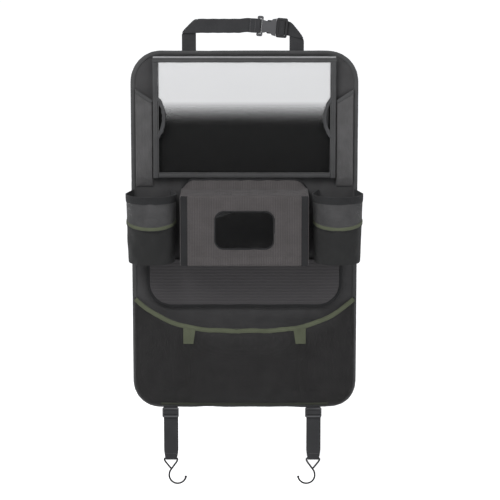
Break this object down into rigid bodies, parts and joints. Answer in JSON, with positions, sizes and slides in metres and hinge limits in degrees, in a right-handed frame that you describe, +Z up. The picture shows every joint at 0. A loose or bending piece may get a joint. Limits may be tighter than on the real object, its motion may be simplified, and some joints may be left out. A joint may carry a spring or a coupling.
{
  "type": "car seat back organizer",
  "caption": "Hanging car seat back organizer: bound fabric panel with a clear tablet pocket, cup holders, tissue box pocket, mesh pockets, a buckled headrest strap and hooked lower straps.",
  "frame": {"origin": "centre of the panel's flat back face, which lies against the seat", "axes": "+Z up along the panel, +Y out of the back face towards the seat, +X to the right as seen from the pockets' side"},
  "size_m": [0.4208, 0.0959, 0.8586],
  "materials": {
    "panel_fabric": "matt ribbed polyester",
    "binding_tape": "woven tape",
    "olive_tape": "woven tape",
    "mesh_fabric": "fine mesh",
    "elastic": "woven elastic",
    "webbing": "woven webbing",
    "clear_film": "clear glossy film",
    "buckle_plastic": "moulded satin",
    "coated_wire": "black coated steel wire"
  },
  "bodies": {
    "organizer": {"back_panel": "panel_fabric", "edge_binding": "binding_tape", "window_film": "clear_film", "window_band_top": "binding_tape", "window_band_bottom": "binding_tape", "window_band_left": "binding_tape", "window_band_right": "binding_tape", "cable_notch_left": "binding_tape", "cable_notch_right": "binding_tape", "side_pocket_left": "mesh_fabric", "side_pocket_right": "mesh_fabric", "side_pocket_hem_left": "binding_tape", "side_pocket_hem_right": "binding_tape", "cup_elastic_left": "elastic", "cup_elastic_right": "elastic", "cup_mesh_left": "mesh_fabric", "cup_mesh_right": "mesh_fabric", "cup_piping_left": "olive_tape", "cup_piping_right": "olive_tape", "cup_sleeve_left": "panel_fabric", "cup_sleeve_right": "panel_fabric", "cup_floor_left": "panel_fabric", "cup_floor_right": "panel_fabric", "tissue_pocket": "mesh_fabric", "tissue_hem": "elastic", "middle_pocket": "panel_fabric", "middle_pocket_binding": "binding_tape", "lower_pocket": "mesh_fabric", "lower_binding": "olive_tape", "divider_left": "panel_fabric", "divider_right": "panel_fabric", "divider_tab_left": "olive_tape", "divider_tab_right": "olive_tape", "top_strap_left": "webbing", "top_strap_right": "webbing", "buckle_socket": "buckle_plastic"},
    "plug": {"buckle_plug": "buckle_plastic"},
    "strap_left": {"lower_strap_left": "webbing"},
    "strap_right": {"lower_strap_right": "webbing"},
    "glide_left": {"slider_left": "buckle_plastic"},
    "glide_right": {"slider_right": "buckle_plastic"},
    "hanger_left": {"hook_left": "coated_wire"},
    "hanger_right": {"hook_right": "coated_wire"}
  },
  "joints": [
    {"name": "buckle_release", "type": "slide", "parent": "organizer", "child": "plug", "axis": [0.9962, 0, -0.0872], "range_m": [0, 0.026], "deforming": ["top_strap_right"]},
    {"name": "strap_adjust_left", "type": "slide", "parent": "organizer", "child": "strap_left", "axis": [0, 0, -1], "range_m": [0, 0.0225], "deforming": ["lower_strap_left"]},
    {"name": "strap_adjust_right", "type": "slide", "parent": "organizer", "child": "strap_right", "axis": [0, 0, -1], "range_m": [0, 0.0225], "deforming": ["lower_strap_right"]},
    {"name": "slider_slide_left", "type": "slide", "parent": "organizer", "child": "glide_left", "axis": [0, 0, -1], "range_m": [0, 0.045], "deforming": ["lower_strap_left"]},
    {"name": "slider_slide_right", "type": "slide", "parent": "organizer", "child": "glide_right", "axis": [0, 0, -1], "range_m": [0, 0.045], "deforming": ["lower_strap_right"]},
    {"name": "hook_swing_left", "type": "hinge", "parent": "strap_left", "child": "hanger_left", "pos_m": [-0.1348, -0.0033, -0.422], "axis": [1, 0, 0], "range_deg": [-90, 90]},
    {"name": "hook_swing_right", "type": "hinge", "parent": "strap_right", "child": "hanger_right", "pos_m": [0.1252, -0.0033, -0.422], "axis": [1, 0, 0], "range_deg": [-90, 90]}
  ],
  "couplings": [
    {"joint": "slider_slide_left", "follows": "strap_adjust_left", "ratio": 2},
    {"joint": "slider_slide_right", "follows": "strap_adjust_right", "ratio": 2}
  ]
}
